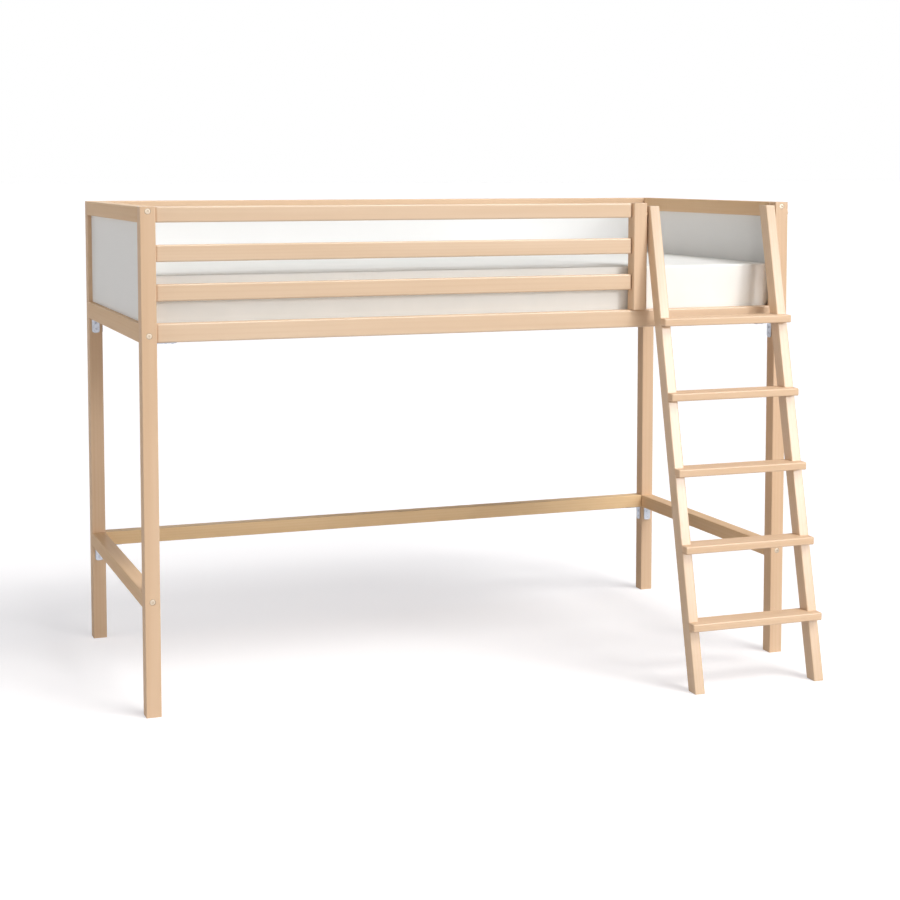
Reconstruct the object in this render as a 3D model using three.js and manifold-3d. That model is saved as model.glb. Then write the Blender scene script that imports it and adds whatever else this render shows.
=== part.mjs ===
// A loft bed in solid light wood: four corner posts, framed end and back panels, a front guard with a guard post
// beside the ladder opening, a leaning ladder with notched treads, slats on ledgers, steel angle brackets and a
// mattress.
// Millimetres. The pieces are placed from the outer front-left corner of the frame at floor level: X runs along the
// bed to the ladder end, Y runs from the front to the back and Z is up. The exported group is centred on the floor.
import * as THREE from "three";
import { mergeVertices } from "three/addons/utils/BufferGeometryUtils.js";
import Module from "manifold-3d";

const wasm = await Module();
wasm.setup();

// Frame
const innerLength = 2000; // clear length between the end frames
const innerWidth = 900; // clear width between the side frames
const postSide = 45;
const postHeight = 1472;
const edgeRadius = 3; // rounded long edges of the frame's bars
const endChamfer = 1; // broken edges at the ends of a bar
const jointGap = 0.3; // between pieces that butt
const topRailHeight = 46;
const sideRailHeight = 55;
const guardHeight = 334; // from the top of the side rails to the top of the posts
const stretcherHeight = 45;
const stretcherBottom = 315;
const panelThickness = 18;
const panelEdgeRadius = 1;

// Front guard
const frontRailSetback = 12; // of every front rail behind the front faces of the posts
const frontRailEdgeRadius = 5;
const guardRailHeight = 49;
const guardRailThickness = 22;
const guardRailCount = 2; // between the side rail and the top rail
const openingWidth = 457; // between the guard post and the corner post

// Slats and mattress
const ledgerHeight = 20;
const ledgerThickness = 22;
const slatCount = 12;
const slatWidth = 90;
const slatThickness = 18;
const slatEndClearance = 2;
const mattressThickness = 157; // in the middle
const mattressClearance = 6; // to the frame, all round
const mattressCornerRadius = 28; // vertical corners
const mattressEdgeRadius = 12; // upper and lower edges
const mattressCrown = 7; // rise of the top between its edges and its middle
const mattressDraw = 3; // how far the sides draw in at mid height

// Ladder
const stileThickness = 33;
const stileDepth = 45; // square to the stile's length
const ladderFootReach = 338; // front of the feet before the front of the frame
const ladderTopReach = 5.5; // front of the stile tops before the front of the frame
const ladderTopDrop = 10; // stile tops below the post tops
const treadCount = 5;
const treadThickness = 24;
const treadEdgeRadius = 4;
const treadLip = 30; // nosing in front of the stiles
const lowestTreadTop = 210;
const highestTreadDrop = 20; // below the top of the side rails
const spacerThickness = 6; // between a stile and the post beside it
const spacerRadius = 9;
const spacerBore = 3.5; // radius of the hole for the bolt
const spacerDrop = 24; // centre of the spacer below the stile top

// Angle brackets
const bracketWidth = 25;
const bracketThickness = 2.5;
const bracketPostLeg = 48;
const bracketRailLeg = 60;
const bracketEndRadius = 8;
const bracketHoleRadius = 2.5;
const bracketHoleInset = 11; // outer hole from the end of a leg
const bracketHolePitch = 20;

// Frame bolts, one through each post into the end of each end rail
const boltRecessRadius = 9;
const boltRecessDepth = 4;
const boltHoleRadius = 3.5;
const boltTopDrop = 13.5; // centre of the top bolt below the post top
const boltSideRise = 21; // centre of the middle bolt above the bottom of the side rails
const nutRadius = 5; // barrel nut
const nutOverBolt = 9; // end of its hole above the middle of the bolt
const nutInset = 39; // from the end of the rail, between the two screws of a bracket

// Facets and cutting
const edgeSegments = 2;
const holeSegments = 14;
const cutOverrun = 2;

// Places worked out from the sizes
const bedLength = innerLength + 2 * postSide;
const bedDepth = innerWidth + 2 * postSide;
const farPostX = bedLength - postSide;
const backPostY = bedDepth - postSide;
const guardPostX = farPostX - openingWidth - postSide;
const topRailBottom = postHeight - topRailHeight;
const sideRailTop = postHeight - guardHeight;
const sideRailBottom = sideRailTop - sideRailHeight;
const frontSideRailThickness = postSide - frontRailSetback; // flush with the inner faces of the posts
const frontSideRailMiddle = frontRailSetback + frontSideRailThickness / 2;
const ledgerTop = sideRailBottom + ledgerHeight;
const slatTop = ledgerTop + jointGap + slatThickness;
const highestTreadTop = sideRailTop - highestTreadDrop;
const ladderTop = postHeight - ladderTopDrop;
const ladderSlope = (ladderFootReach - ladderTopReach) / ladderTop;
const ladderLean = Math.atan(ladderSlope);
const stileRun = stileDepth / Math.cos(ladderLean); // depth of a stile measured level
const ladderLeft = guardPostX + postSide + spacerThickness;
const ladderRight = farPostX - spacerThickness;

const wood = new THREE.MeshStandardMaterial({ color: 0xe4c19a, roughness: 0.55, metalness: 0 });
const slatWood = new THREE.MeshStandardMaterial({ color: 0xe6cba6, roughness: 0.7, metalness: 0 });
const whiteBoard = new THREE.MeshStandardMaterial({ color: 0xf2f1ee, roughness: 0.5, metalness: 0 });
const whiteFabric = new THREE.MeshStandardMaterial({ color: 0xf6f5f3, roughness: 0.95, metalness: 0 });
const zincSteel = new THREE.MeshStandardMaterial({ color: 0xb9bdc2, roughness: 0.4, metalness: 0.9 });
const whiteNylon = new THREE.MeshStandardMaterial({ color: 0xe9e9e6, roughness: 0.5, metalness: 0 });

const bed = new THREE.Group();

function add(name, geometry, material) {
  const mesh = new THREE.Mesh(geometry, material);
  mesh.name = name;
  bed.add(mesh);
}

// A closed geometry as a solid that can be cut.
function solidOf(geometry) {
  const bare = geometry.index ? geometry.toNonIndexed() : geometry.clone();
  bare.deleteAttribute("normal");
  bare.deleteAttribute("uv");
  const merged = mergeVertices(bare, 1e-3);
  return new wasm.Manifold(
    new wasm.Mesh({
      numProp: 3,
      vertProperties: merged.attributes.position.array,
      triVerts: new Uint32Array(merged.index.array),
    }),
  );
}

function geometryOf(solid) {
  const mesh = solid.getMesh();
  const geometry = new THREE.BufferGeometry();
  geometry.setAttribute("position", new THREE.BufferAttribute(mesh.vertProperties, mesh.numProp));
  geometry.setIndex(new THREE.BufferAttribute(mesh.triVerts, 1));
  const faceted = geometry.toNonIndexed();
  faceted.computeVertexNormals();
  return faceted;
}

function cut(geometry, tools) {
  let solid = solidOf(geometry);
  for (const tool of tools) solid = solid.subtract(solidOf(tool));
  return geometryOf(solid);
}

function trim(geometry, tools) {
  let solid = solidOf(geometry);
  for (const tool of tools) solid = solid.intersect(solidOf(tool));
  return geometryOf(solid);
}

// A rectangle with its corners rounded, centred on the origin.
function roundedOutline(width, height, radius) {
  const x = width / 2 - radius;
  const y = height / 2 - radius;
  const outline = new THREE.Shape();
  outline.absarc(x, -y, radius, -Math.PI / 2, 0);
  outline.absarc(x, y, radius, 0, Math.PI / 2);
  outline.absarc(-x, y, radius, Math.PI / 2, Math.PI);
  outline.absarc(-x, -y, radius, Math.PI, 1.5 * Math.PI);
  return outline;
}

// A bar centred on the origin, along Z, with rounded long edges and broken end edges.
function bar(width, depth, length, radius = edgeRadius) {
  const chamfer = Math.min(endChamfer, radius / 2);
  const geometry = new THREE.ExtrudeGeometry(roundedOutline(width, depth, radius), {
    depth: length - 2 * chamfer,
    curveSegments: edgeSegments,
    bevelThickness: chamfer,
    bevelSize: chamfer,
    bevelOffset: -chamfer,
    bevelSegments: 1,
  });
  return geometry.translate(0, 0, chamfer - length / 2);
}

// Bars that fill the box from (x, y, z) with the given sizes, running along each of the three axes.
function upright(x, y, z, width, depth, height) {
  return bar(width, depth, height).translate(x + width / 2, y + depth / 2, z + height / 2);
}

function lengthways(x, y, z, length, depth, height, radius = edgeRadius) {
  const geometry = bar(height, depth, length, radius).rotateY(Math.PI / 2);
  return geometry.translate(x + length / 2, y + depth / 2, z + height / 2);
}

function crossways(x, y, z, width, length, height, radius = edgeRadius) {
  const geometry = bar(width, height, length, radius).rotateX(Math.PI / 2);
  return geometry.translate(x + width / 2, y + length / 2, z + height / 2);
}

// A round cutting tool between two points.
function pin(from, to, radius) {
  const along = new THREE.Vector3().subVectors(to, from);
  const geometry = new THREE.CylinderGeometry(radius, radius, along.length(), holeSegments);
  const turn = new THREE.Quaternion().setFromUnitVectors(new THREE.Vector3(0, 1, 0), along.clone().normalize());
  geometry.applyQuaternion(turn);
  return geometry.translate(...new THREE.Vector3().addVectors(from, to).multiplyScalar(0.5).toArray());
}

// Heights of the three frame bolts in a corner post, each at the rail that it holds.
const boltHeights = [
  postHeight - boltTopDrop,
  sideRailBottom + boltSideRise,
  stretcherBottom + stretcherHeight / 2,
];

// A corner post, bored for its bolts from its outer face in the Y direction.
function cornerPost(x, y, outerY) {
  const innerY = outerY === y ? y + postSide : y;
  const outward = Math.sign(outerY - innerY);
  const tools = [];
  for (const z of boltHeights) {
    const centreX = x + postSide / 2;
    const outside = new THREE.Vector3(centreX, outerY + outward * cutOverrun, z);
    const inside = new THREE.Vector3(centreX, innerY - outward * cutOverrun, z);
    const recessFloor = new THREE.Vector3(centreX, outerY - outward * boltRecessDepth, z);
    tools.push(pin(outside, inside, boltHoleRadius), pin(outside, recessFloor, boltRecessRadius));
  }
  return cut(upright(x, y, 0, postSide, postSide, postHeight), tools);
}

function addPosts() {
  add("post_front_left", cornerPost(0, 0, 0), wood);
  add("post_front_right", cornerPost(farPostX, 0, 0), wood);
  add("post_rear_left", cornerPost(0, backPostY, bedDepth), wood);
  add("post_rear_right", cornerPost(farPostX, backPostY, bedDepth), wood);
  const foot = sideRailTop + jointGap;
  add("guard_post", upright(guardPostX, 0, foot, postSide, postSide, postHeight - foot), wood);
}

// A bar of an end frame, between its two posts. Each end has a bore for the bolt and a cross hole for the barrel nut,
// which opens on the underside.
function endBar(x, z, height, boltHeight) {
  const start = postSide + jointGap;
  const length = innerWidth - 2 * jointGap;
  const centreX = x + postSide / 2;
  const tools = [];
  for (const [endY, towards] of [
    [start, 1],
    [start + length, -1],
  ]) {
    const nutY = endY + towards * nutInset;
    const mouth = new THREE.Vector3(centreX, endY - towards * cutOverrun, boltHeight);
    const boreEnd = new THREE.Vector3(centreX, nutY, boltHeight);
    const nutMouth = new THREE.Vector3(centreX, nutY, z - cutOverrun);
    const nutEnd = new THREE.Vector3(centreX, nutY, boltHeight + nutOverBolt);
    tools.push(pin(mouth, boreEnd, boltHoleRadius), pin(nutMouth, nutEnd, nutRadius));
  }
  return cut(crossways(x, start, z, postSide, length, height), tools);
}

function panelHeight() {
  return topRailBottom - sideRailTop - 2 * jointGap;
}

function addEndFrame(side, x) {
  const [topBolt, sideBolt, lowBolt] = boltHeights;
  add("end_top_rail_" + side, endBar(x, topRailBottom, topRailHeight, topBolt), wood);
  add("end_lower_rail_" + side, endBar(x, sideRailBottom, sideRailHeight, sideBolt), wood);
  add("end_stretcher_" + side, endBar(x, stretcherBottom, stretcherHeight, lowBolt), wood);
  const panelX = x + (postSide - panelThickness) / 2;
  const panelY = postSide + jointGap;
  const panelZ = sideRailTop + jointGap;
  const panelLength = innerWidth - 2 * jointGap;
  add(
    "end_panel_" + side,
    crossways(panelX, panelY, panelZ, panelThickness, panelLength, panelHeight(), panelEdgeRadius),
    whiteBoard,
  );
}

function addBackFrame() {
  const x = postSide + jointGap;
  const length = innerLength - 2 * jointGap;
  add("back_top_rail", lengthways(x, backPostY, topRailBottom, length, postSide, topRailHeight), wood);
  add("back_side_rail", lengthways(x, backPostY, sideRailBottom, length, postSide, sideRailHeight), wood);
  add("back_stretcher", lengthways(x, backPostY, stretcherBottom, length, postSide, stretcherHeight), wood);
  const panelY = backPostY + (postSide - panelThickness) / 2;
  const panelZ = sideRailTop + jointGap;
  add(
    "back_panel",
    lengthways(x, panelY, panelZ, length, panelThickness, panelHeight(), panelEdgeRadius),
    whiteBoard,
  );
}

// A rail along the front, set back behind the faces of the posts, as long as given.
function frontRail(z, length, thickness, height) {
  return lengthways(postSide + jointGap, frontRailSetback, z, length, thickness, height, frontRailEdgeRadius);
}

function addFrontGuard() {
  const sideLength = innerLength - 2 * jointGap;
  add("front_side_rail", frontRail(sideRailBottom, sideLength, frontSideRailThickness, sideRailHeight), wood);
  const length = guardPostX - postSide - 2 * jointGap;
  add("front_top_rail", frontRail(topRailBottom, length, guardRailThickness, topRailHeight), wood);
  const names = ["guard_rail_lower", "guard_rail_upper"];
  const free = topRailBottom - sideRailTop - guardRailCount * guardRailHeight;
  const gap = free / (guardRailCount + 1);
  for (let i = 0; i < guardRailCount; i += 1) {
    const z = sideRailTop + gap + i * (gap + guardRailHeight);
    add(names[i] ?? "guard_rail_" + (i + 1), frontRail(z, length, guardRailThickness, guardRailHeight), wood);
  }
}

function addSlats() {
  const x = postSide + jointGap;
  const length = innerLength - 2 * jointGap;
  const frontY = postSide + jointGap;
  const backY = backPostY - jointGap - ledgerThickness;
  add("slat_ledger_front", lengthways(x, frontY, sideRailBottom, length, ledgerThickness, ledgerHeight), wood);
  add("slat_ledger_back", lengthways(x, backY, sideRailBottom, length, ledgerThickness, ledgerHeight), wood);
  const slatLength = innerWidth - 2 * slatEndClearance;
  const slatGap = (innerLength - slatCount * slatWidth) / (slatCount + 1);
  for (let i = 0; i < slatCount; i += 1) {
    const slatX = postSide + slatGap + i * (slatWidth + slatGap);
    const slatY = postSide + slatEndClearance;
    const z = ledgerTop + jointGap;
    const number = String(i + 1).padStart(2, "0");
    add("slat_" + number, crossways(slatX, slatY, z, slatWidth, slatLength, slatThickness), slatWood);
  }
}

// One ring of the mattress: its outline drawn in by inset, at the given height. Points run round from the front.
function mattressRing(length, width, inset, z, rise) {
  const cornerSteps = 4;
  const straightSteps = 6;
  const radius = Math.max(mattressCornerRadius - inset, mattressEdgeRadius);
  const halfX = length / 2 - inset;
  const halfY = width / 2 - inset;
  const corners = [
    [1, -1, -Math.PI / 2],
    [1, 1, 0],
    [-1, 1, Math.PI / 2],
    [-1, -1, Math.PI],
  ];
  const turns = corners.map(([signX, signY, start]) => {
    const arc = [];
    for (let i = 0; i <= cornerSteps; i += 1) {
      const angle = start + (i / cornerSteps) * (Math.PI / 2);
      const x = signX * (halfX - radius) + radius * Math.cos(angle);
      const y = signY * (halfY - radius) + radius * Math.sin(angle);
      arc.push(new THREE.Vector3(x, y, z));
    }
    return arc;
  });
  const ring = [];
  turns.forEach((arc, corner) => {
    ring.push(...arc);
    const last = arc[arc.length - 1];
    const next = turns[(corner + 1) % turns.length][0];
    for (let i = 1; i < straightSteps; i += 1) ring.push(last.clone().lerp(next, i / straightSteps));
  });
  for (const point of ring) {
    const acrossShare = Math.cos((point.x / length) * Math.PI) * Math.cos((point.y / width) * Math.PI);
    point.z += rise * acrossShare;
  }
  return ring;
}

// Rings from the underside over the side and the top, joined in one closed surface.
function skinned(rings, bottomCentre, topCentre) {
  const points = rings.flat();
  const count = rings[0].length;
  const faces = [];
  for (let r = 0; r + 1 < rings.length; r += 1) {
    for (let i = 0; i < count; i += 1) {
      const a = r * count + i;
      const b = r * count + ((i + 1) % count);
      faces.push(a, b, b + count, a, b + count, a + count);
    }
  }
  const bottom = points.push(bottomCentre) - 1;
  const top = points.push(topCentre) - 1;
  const lastRing = (rings.length - 1) * count;
  for (let i = 0; i < count; i += 1) {
    const next = (i + 1) % count;
    faces.push(bottom, next, i, top, lastRing + i, lastRing + next);
  }
  const geometry = new THREE.BufferGeometry().setFromPoints(points);
  geometry.setIndex(faces);
  const faceted = geometry.toNonIndexed();
  faceted.computeVertexNormals();
  return faceted;
}

// The mattress: flat underneath, rounded edges, sides that draw in at mid height and a crowned top.
function mattress() {
  const length = innerLength - 2 * mattressClearance;
  const width = innerWidth - 2 * mattressClearance;
  const height = mattressThickness - mattressCrown;
  const rings = [];
  const edgeSteps = 3;
  for (let i = 0; i <= edgeSteps; i += 1) {
    const angle = (i / edgeSteps) * (Math.PI / 2);
    const inset = mattressEdgeRadius * (1 - Math.sin(angle));
    rings.push(mattressRing(length, width, inset, mattressEdgeRadius * (1 - Math.cos(angle)), 0));
  }
  const sideSteps = 4;
  const sideHeight = height - 2 * mattressEdgeRadius;
  for (let i = 1; i < sideSteps; i += 1) {
    const inset = mattressDraw * Math.sin((i / sideSteps) * Math.PI);
    rings.push(mattressRing(length, width, inset, mattressEdgeRadius + (i / sideSteps) * sideHeight, 0));
  }
  for (let i = edgeSteps; i >= 0; i -= 1) {
    const angle = (i / edgeSteps) * (Math.PI / 2);
    const inset = mattressEdgeRadius * (1 - Math.sin(angle));
    rings.push(mattressRing(length, width, inset, height - mattressEdgeRadius * (1 - Math.cos(angle)), 0));
  }
  const topInsetShares = [0.1, 0.35, 0.65];
  for (const share of topInsetShares) {
    const inset = Math.max((share * width) / 2, mattressEdgeRadius);
    rings.push(mattressRing(length, width, inset, height, mattressCrown));
  }
  const bottomCentre = new THREE.Vector3(0, 0, 0);
  const topCentre = new THREE.Vector3(0, 0, height + mattressCrown);
  const geometry = skinned(rings, bottomCentre, topCentre);
  return geometry.translate(bedLength / 2, bedDepth / 2, slatTop + jointGap);
}

// Front plane of the ladder at a height.
function stileFront(z) {
  return ladderSlope * z - ladderFootReach;
}

// A stile leans with the ladder and is cut level at its foot and its top.
function stile(x) {
  const reach = ladderTop / Math.cos(ladderLean) + 2 * stileDepth;
  const leaning = bar(stileThickness, stileDepth, reach).rotateX(-ladderLean);
  const middle = ladderTop / 2;
  leaning.translate(x + stileThickness / 2, stileFront(middle) + stileRun / 2, middle);
  const slab = new THREE.BoxGeometry(4 * stileThickness, 4 * (ladderFootReach + bedDepth), ladderTop);
  slab.translate(x + stileThickness / 2, 0, middle);
  return trim(leaning, [slab]);
}

// A cutting tool that clears a stile out of a tread: everything behind the ladder's front plane, between two X values.
function notchTool(fromX, toX, z) {
  const depth = 2 * (treadLip + stileRun);
  const tool = new THREE.BoxGeometry(toX - fromX, depth, 4 * treadThickness);
  tool.translate(0, depth / 2, 0).rotateX(-ladderLean);
  return tool.translate((fromX + toX) / 2, stileFront(z) - jointGap, z);
}

// A tread fills the space between the stiles and laps in front of them, its rear corners notched round them.
function tread(top) {
  const middle = top - treadThickness / 2;
  const front = stileFront(middle) - treadLip;
  const depth = stileFront(top) + stileRun - front;
  const z = top - treadThickness;
  const width = ladderRight - ladderLeft;
  const board = lengthways(ladderLeft, front, z, width, depth, treadThickness, treadEdgeRadius);
  const notch = stileThickness + jointGap;
  return cut(board, [
    notchTool(ladderLeft - cutOverrun, ladderLeft + notch, middle),
    notchTool(ladderRight - notch, ladderRight + cutOverrun, middle),
  ]);
}

// A round spacer that holds a stile off the post beside it, bored for the bolt.
function spacer(x) {
  const z = ladderTop - spacerDrop;
  const y = stileFront(z) + stileRun / 2;
  const from = new THREE.Vector3(x + jointGap, y, z);
  const to = new THREE.Vector3(x + spacerThickness - jointGap, y, z);
  const overrun = new THREE.Vector3(cutOverrun, 0, 0);
  return cut(pin(from, to, spacerRadius), [pin(from.clone().sub(overrun), to.clone().add(overrun), spacerBore)]);
}

function addLadder() {
  add("ladder_stile_left", stile(ladderLeft), wood);
  add("ladder_stile_right", stile(ladderRight - stileThickness), wood);
  const pitch = (highestTreadTop - lowestTreadTop) / (treadCount - 1);
  for (let i = 0; i < treadCount; i += 1) {
    add("ladder_tread_" + (i + 1), tread(lowestTreadTop + i * pitch), wood);
  }
  add("ladder_spacer_left", spacer(ladderLeft - spacerThickness), whiteNylon);
  add("ladder_spacer_right", spacer(ladderRight), whiteNylon);
}

// An angle bracket in its own frame: one leg runs down the YZ plane from the origin, the other along +X, and both
// have rounded ends and two screw holes.
function angleBracket() {
  const profile = new THREE.Shape();
  profile.moveTo(0, 0);
  profile.lineTo(0, -bracketPostLeg);
  profile.lineTo(bracketThickness, -bracketPostLeg);
  profile.lineTo(bracketThickness, -bracketThickness);
  profile.lineTo(bracketRailLeg, -bracketThickness);
  profile.lineTo(bracketRailLeg, 0);
  const strip = new THREE.ExtrudeGeometry(profile, { depth: bracketWidth, bevelEnabled: false });
  strip.rotateX(Math.PI / 2).translate(0, bracketWidth / 2, 0);
  const length = bracketPostLeg + bracketRailLeg;
  const postOutline = roundedOutline(bracketWidth, 2 * bracketPostLeg, bracketEndRadius);
  const postTool = new THREE.ExtrudeGeometry(postOutline, { depth: length, bevelEnabled: false, curveSegments: 4 });
  postTool.rotateX(Math.PI / 2).rotateZ(Math.PI / 2).translate(-cutOverrun, 0, 0);
  const railOutline = roundedOutline(2 * bracketRailLeg, bracketWidth, bracketEndRadius);
  const railTool = new THREE.ExtrudeGeometry(railOutline, { depth: length, bevelEnabled: false, curveSegments: 4 });
  railTool.translate(0, 0, cutOverrun - length);
  const holes = [];
  for (let i = 0; i < 2; i += 1) {
    const drop = bracketPostLeg - bracketHoleInset - i * bracketHolePitch;
    const reach = bracketRailLeg - bracketHoleInset - i * bracketHolePitch;
    const behind = new THREE.Vector3(-cutOverrun, 0, -drop);
    const before = new THREE.Vector3(bracketThickness + cutOverrun, 0, -drop);
    const above = new THREE.Vector3(reach, 0, cutOverrun);
    const below = new THREE.Vector3(reach, 0, -bracketThickness - cutOverrun);
    holes.push(pin(behind, before, bracketHoleRadius), pin(above, below, bracketHoleRadius));
  }
  return cut(trim(strip, [postTool, railTool]), holes);
}

// Brackets in the corners under the rails: each entry is a name, the corner that the bracket sits in and the
// direction of its rail leg, as a turn about Z.
function addBrackets() {
  const centre = postSide / 2;
  const near = postSide;
  const along = { right: 0, back: Math.PI / 2, left: Math.PI, front: -Math.PI / 2 };
  const places = [];
  for (const [level, z] of [
    ["upper", sideRailBottom],
    ["lower", stretcherBottom],
  ]) {
    places.push(["end_front_left_" + level, centre, near, z, along.back]);
    places.push(["end_front_right_" + level, bedLength - centre, near, z, along.back]);
    places.push(["end_rear_left_" + level, centre, backPostY, z, along.front]);
    places.push(["end_rear_right_" + level, bedLength - centre, backPostY, z, along.front]);
    places.push(["back_left_" + level, near, bedDepth - centre, z, along.right]);
    places.push(["back_right_" + level, farPostX, bedDepth - centre, z, along.left]);
  }
  places.push(["front_left_upper", near, frontSideRailMiddle, sideRailBottom, along.right]);
  places.push(["front_right_upper", farPostX, frontSideRailMiddle, sideRailBottom, along.left]);
  const shape = angleBracket().translate(jointGap, 0, -jointGap);
  for (const [name, x, y, z, turn] of places) {
    add("bracket_" + name, shape.clone().rotateZ(turn).translate(x, y, z), zincSteel);
  }
}

addPosts();
addEndFrame("left", 0);
addEndFrame("right", farPostX);
addBackFrame();
addFrontGuard();
addSlats();
add("mattress", mattress(), whiteFabric);
addLadder();
addBrackets();

// The floor point under the middle of the whole object, ladder included, is the origin.
bed.position.set(-bedLength / 2, -(bedDepth - ladderFootReach) / 2, 0);
const loftBed = new THREE.Group();
loftBed.add(bed);

export default loftBed;
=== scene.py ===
import itertools
import math

import bmesh
import bpy
from mathutils import Matrix, Vector, noise


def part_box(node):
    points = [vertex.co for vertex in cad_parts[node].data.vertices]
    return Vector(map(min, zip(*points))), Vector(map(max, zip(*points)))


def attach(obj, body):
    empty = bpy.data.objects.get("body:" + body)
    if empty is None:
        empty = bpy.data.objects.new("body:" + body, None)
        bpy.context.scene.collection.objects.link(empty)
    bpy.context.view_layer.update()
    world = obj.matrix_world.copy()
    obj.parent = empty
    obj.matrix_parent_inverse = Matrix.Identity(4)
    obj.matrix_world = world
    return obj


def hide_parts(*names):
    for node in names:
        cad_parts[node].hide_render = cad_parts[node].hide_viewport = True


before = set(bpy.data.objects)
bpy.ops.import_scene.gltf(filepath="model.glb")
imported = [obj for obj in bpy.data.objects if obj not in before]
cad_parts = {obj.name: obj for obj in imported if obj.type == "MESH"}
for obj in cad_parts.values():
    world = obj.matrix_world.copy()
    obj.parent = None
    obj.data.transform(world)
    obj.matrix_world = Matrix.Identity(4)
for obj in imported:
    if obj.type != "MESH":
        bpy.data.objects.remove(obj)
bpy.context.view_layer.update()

MM = 0.001
BODY = "root"
AXIS_NUMBER = {"X": 0, "Y": 1, "Z": 2}
# The turn that lays a primitive, which stands along Z, along each axis
AXIS_TURN = {"X": (0, math.pi / 2, 0), "Y": (math.pi / 2, 0, 0), "Z": (0, 0, 0)}
SAME_PLACE = 0.05 * MM
ALONG_AXIS = 0.999  # share of an edge's length that runs along its axis
FLAT_FACE = 0.9999  # share of a face's normal that looks along one axis
LEVEL_FACE = 0.9

# Timber
EDGE_ROUND = 3 * MM
FRONT_EDGE_ROUND = 5 * MM
TREAD_EDGE_ROUND = 4 * MM
END_EASE = 1 * MM
FRONT_END_ROUND = 8.5 * MM  # of the front rails, seen from above
TREAD_END_ROUND = 3.8 * MM
ROUND_STEPS = 4
END_ROUND_STEPS = 6
EASE_STEPS = 2
SMOOTH_ANGLE = math.radians(35)

# Where each bar was sawn from its plank
GOLDEN_STEP = 0.618
PLANK_STEP = 3.7
HEART_NEAREST = 50 * MM
HEART_SPREAD = 50 * MM

# Ladder
STILE_THICKNESS = 33 * MM
STILE_DEPTH = 45 * MM
LADDER_FOOT_REACH = 338 * MM
LADDER_TOP_REACH = 5.5 * MM
TREAD_LIP = 30 * MM
JOINT_GAP = 0.3 * MM
SPACER_EDGE = 0.6 * MM
SPACER_BORE_RADIUS = 3.5 * MM
LADDER_BOLT_SCALE = 0.85  # against a frame bolt

# Frame bolts and barrel nuts
BOLT_TOP_DROP = 13.5 * MM
BOLT_SIDE_RISE = 21 * MM
RECESS_RADIUS = 9 * MM
RECESS_DEPTH = 4 * MM
RECESS_CHAMFER = 0.7 * MM
BOLT_HEAD_RADIUS = 8.6 * MM
BOLT_HEAD_HEIGHT = 3.4 * MM
BOLT_EDGE = 1 * MM
SOCKET_RADIUS = 3.4 * MM
SOCKET_DEPTH = 2.4 * MM
NUT_RADIUS = 4.7 * MM
NUT_HOLE_RADIUS = 5 * MM
NUT_INSET = 39 * MM
NUT_LENGTH = 14 * MM
NUT_SINK = 1 * MM
NUT_OVER_BOLT = 9 * MM
NUT_EDGE = 0.5 * MM
NUT_SLOT_WIDTH = 1.2 * MM
NUT_SLOT_DEPTH = 1 * MM
WASHER_RADIUS = 10 * MM
WASHER_THICKNESS = 1.5 * MM
WASHER_EDGE = 0.4 * MM
CUTTER_REACH = 1 * MM  # how far a cutter stands out of what it cuts

# Screws
SCREW_RADIUS = 4.2 * MM
SCREW_HEIGHT = 2 * MM
SCREW_ROUND = 1.3 * MM
CROSS_LENGTH = 4.6 * MM
CROSS_WIDTH = 1 * MM
CROSS_DEPTH = 1.2 * MM
SLAT_SCREW_INSET = 11 * MM
SLAT_SCREW_STAND = 0.4 * MM  # how far its head stands proud of the slat

# Angle brackets
BRACKET_WIDTH = 25 * MM
BRACKET_THICKNESS = 2.5 * MM
BRACKET_POST_LEG = 48 * MM
BRACKET_RAIL_LEG = 60 * MM
BRACKET_CORNER_ROUND = 8 * MM
BRACKET_BEND_OUTSIDE = 2.4 * MM
BRACKET_BEND_INSIDE = 1.2 * MM
BRACKET_HOLE_INSET = 11 * MM
BRACKET_HOLE_PITCH = 20 * MM

# Mattress
MATTRESS_CORNER_ROUND = 9 * MM
MATTRESS_EDGE_ROUND = 5 * MM
MATTRESS_CORNER_STEPS = 4
MATTRESS_EDGE_STEPS = 3
MATTRESS_GRID = (25 * MM, 25 * MM, 15 * MM)
MATTRESS_SIDE_DRAW = 2 * MM  # how far the cover starts inside the clearance at the long sides
MATTRESS_END_REACH = 5.6 * MM  # how far it reaches into the clearance at the ends
END_BULGE = 12.5 * MM  # how far the ends swell over the end rails, up to the panels
END_BULGE_RISE = 14 * MM
END_BULGE_REACH = 80 * MM
EDGE_HOLD = 12 * MM  # how far from its edges the cover is held
END_PUFF_LIMIT = 0.4 * MM
SIDE_PUFF_LIMIT = 2.5 * MM
TOP_PUFF_LIMIT = 6 * MM
FOAM_PRESSURE = 0.08
CLOTH_QUALITY = 4
SIMULATION_FRAMES = 20
UNDULATION = 0.8 * MM
UNDULATION_LENGTH = 220 * MM
RIPPLE = 0.4  # the height of the small waves against the large ones
RIPPLES = 3  # how many of them there are to a large one

# The sizes of what repeats in the finishes
WAVE_REPEAT = math.pi / 10  # the repeat of a Wave texture at a scale of 1
RING_PITCH = 9.8175 * MM
RING_STRETCH = 0.05  # the rings bend along the grain twenty times as slowly as across it
STREAK_SIZE = (333.3 * MM, 6.25 * MM, 6.25 * MM)  # along the grain, then across it
BAND_SIZE = (833.3 * MM, 71.43 * MM, 71.43 * MM)
PEEL_SIZE = 2.22 * MM
PAINT_CLOUD_SIZE = 333.3 * MM
THREAD_PITCH = 1.5 * MM
CREASE_SIZE = 111.1 * MM
PLATING_CLOUD_SIZE = 6.25 * MM
TURNING_MARK_SIZE = 1.11 * MM
NYLON_CLOUD_SIZE = 8.33 * MM


# Modelling
def clear_selection():
    bpy.ops.object.select_all(action="DESELECT")


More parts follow.
